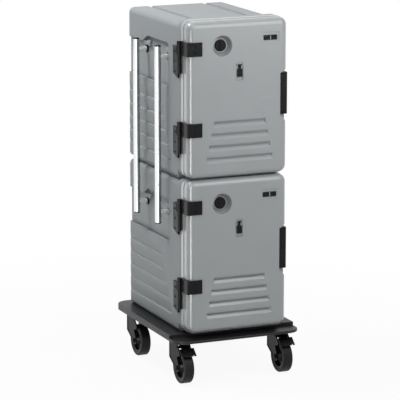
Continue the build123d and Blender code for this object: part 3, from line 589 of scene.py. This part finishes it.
def dress_box(box, lift):
    """Screws that hold the hinges and the latch base to the moulded box."""
    shape = bmesh.new()
    face, depth = BODY_LEAF_SCREWS
    for height in HINGE_HEIGHTS:
        for drop in BODY_LEAF_SCREW_DROPS:
            turned(shape, facing(LEFTWARD, (face, depth, height - drop + lift)), SCREW_RINGS)
    add_piece(f"{box}_body_leaf_screws", shape, "cart", "dark_steel", BLACK_SCREW)
    shape = bmesh.new()
    face, depth = LATCH_SCREWS
    for height in LATCH_SCREW_HEIGHTS:
        turned(shape, facing(RIGHTWARD, (face, depth, height + lift)), SCREW_RINGS)
    add_piece(f"{box}_latch_screws", shape, "cart", "dark_steel", BLACK_SCREW)


def dress_caster(caster, across, back, axle_back):
    """Nuts under the top plate and on both ends of the axle."""
    shape = bmesh.new()
    for side in (-TOP_PLATE_BOLTS[0], TOP_PLATE_BOLTS[0]):
        for along in (-TOP_PLATE_BOLTS[1], TOP_PLATE_BOLTS[1]):
            turned(shape, facing(DOWNWARD, (across + side, back + along, TOP_PLATE_UNDERSIDE)), NUT_RINGS)
    add_piece(f"{caster}_plate_nuts", shape, "cart", "dark_steel")
    shape = bmesh.new()
    for side in (-1, 1):
        turned(shape, facing((side, 0, 0), (across + side * AXLE_END, axle_back, AXLE_HEIGHT)), NUT_RINGS)
    add_piece(f"{caster}_axle_nuts", shape, f"{caster}_swivel", "dark_steel")


for box, lift in BOX_LIFTS.items():
    dress_door(box, lift)
    dress_box(box, lift)
for caster, places in CASTERS.items():
    dress_caster(caster, *places)


def seen_directly(tree):
    """1 on a ray from the camera, a reflection or a clear piece, and 0 on a ray that carries light."""
    rays = tree.nodes.new("ShaderNodeLightPath")
    seen = maths(tree, "MAXIMUM", rays.outputs["Is Camera Ray"], rays.outputs["Is Transmission Ray"])
    return maths(tree, "MAXIMUM", seen, rays.outputs["Is Glossy Ray"])


def stage():
    """A plain pale floor that the camera sees as white but that keeps the cart's shadow."""
    mesh = bpy.data.meshes.new("floor")
    shape = bmesh.new()
    bmesh.ops.create_grid(shape, x_segments=1, y_segments=1, size=FLOOR_SIZE)
    shape.to_mesh(mesh)
    shape.free()
    floor = bpy.data.objects.new("floor", mesh)
    bpy.context.scene.collection.objects.link(floor)
    material, tree, shader = start_material("pale floor")
    surface = shader.outputs["BSDF"].links[0].to_socket
    shader.inputs["Base Color"].default_value = FLOOR_COLOUR
    shader.inputs["Roughness"].default_value = FLOOR_ROUGHNESS
    shader.inputs["Specular IOR Level"].default_value = FLOOR_GLOSS
    distance = add(tree, "ShaderNodeVectorMath", operation="LENGTH", inputs={0: coordinates(tree)})
    whiteness = remap(tree, distance.outputs["Value"], FLOOR_SHADE_RADIUS, FLOOR_WHITE_RADIUS,
                      to_low=FLOOR_WHITE)
    white_share = maths(tree, "MULTIPLY", seen_directly(tree), whiteness)
    white = add(tree, "ShaderNodeEmission", inputs={"Color": WHITE, "Strength": 1.0})
    shown = add(tree, "ShaderNodeMixShader",
                inputs={0: white_share, 1: shader.outputs["BSDF"], 2: white.outputs[0]})
    tree.links.new(shown.outputs[0], surface)
    mesh.materials.append(material)


def world():
    """Plain light from all round, white where the camera or a reflection sees it."""
    made = bpy.data.worlds.new("studio")
    bpy.context.scene.world = made
    made.use_nodes = True
    tree = made.node_tree
    tree.nodes.clear()
    height = height_of(tree, coordinates(tree, "Generated"))
    level = remap(tree, height, 0.0, 1.0, HORIZON_LIGHT, OVERHEAD_LIGHT)
    soft = add(tree, "ShaderNodeBackground", inputs={"Color": WHITE, "Strength": level})
    white = add(tree, "ShaderNodeBackground", inputs={"Color": WHITE, "Strength": 1.0})
    chosen = add(tree, "ShaderNodeMixShader",
                 inputs={0: seen_directly(tree), 1: soft.outputs[0], 2: white.outputs[0]})
    output = tree.nodes.new("ShaderNodeOutputWorld")
    tree.links.new(chosen.outputs[0], output.inputs["Surface"])


def aim_at(thing, place, target):
    """Puts a lamp or camera at a place, looking at a target."""
    thing.location = place
    thing.rotation_mode = "QUATERNION"
    thing.rotation_quaternion = (Vector(target) - Vector(place)).to_track_quat("-Z", "Y")
    bpy.context.scene.collection.objects.link(thing)


def area_light(name, place, aim, width, height, power, shown_in):
    """A soft panel of light, out of the picture, that shows in shading, in reflections or in both."""
    data = bpy.data.lights.new(name, "AREA")
    data.shape = "RECTANGLE"
    data.size = width
    data.size_y = height
    data.energy = power
    lamp = bpy.data.objects.new(name, data)
    lamp.visible_camera = False
    lamp.visible_diffuse = shown_in != GLOSS
    lamp.visible_glossy = shown_in != MATT
    aim_at(lamp, place, aim)


def camera():
    data = bpy.data.cameras.new("camera")
    data.lens = CAMERA_LENS
    data.sensor_width = SENSOR
    data.clip_start = NEAREST_SEEN
    data.clip_end = FURTHEST_SEEN
    eye = bpy.data.objects.new("camera", data)
    aim_at(eye, CAMERA_AT, CAMERA_TARGET)
    bpy.context.scene.camera = eye


stage()
world()
for lamp in LAMPS:
    area_light(*lamp)
camera()
bpy.context.scene.view_settings.view_transform = "Standard"
